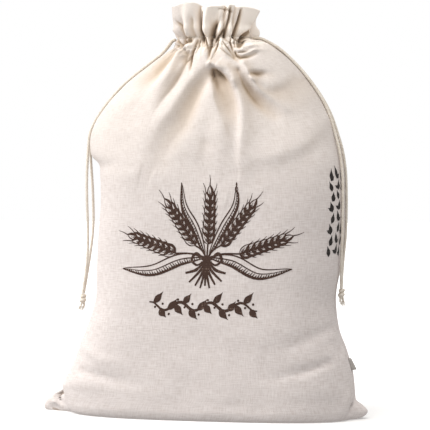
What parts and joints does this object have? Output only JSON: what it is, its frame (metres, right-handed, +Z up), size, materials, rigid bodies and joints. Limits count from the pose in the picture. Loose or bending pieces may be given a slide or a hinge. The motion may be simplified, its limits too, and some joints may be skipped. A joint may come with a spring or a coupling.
{
  "type": "linen bread bag",
  "caption": "Filled-out standing cloth bag with a gathered neck, a ruffled heading, knotted drawcords, eared bottom corners and a small side tab.",
  "frame": {"origin": "on the surface that the bag stands on, under the middle of its outline", "axes": "the front faces -Y, +X is to the right seen from the front, +Z is up through the neck"},
  "size_m": [0.3, 0.1094, 0.366],
  "materials": {
    "linen": "unbleached cream plain weave with slubs, soft and matt",
    "cord": "natural cotton cord, twisted, matt, frayed at its ends",
    "tape": "narrow woven cotton tape, blank"
  },
  "bodies": {
    "root": {"front_panel": "linen", "back_panel": "linen", "cord_left_front": "cord", "cord_left_back": "cord", "cord_right_front": "cord", "cord_right_back": "cord", "knot_left": "cord", "knot_right": "cord", "seam_tab": "tape"}
  },
  "joints": []
}
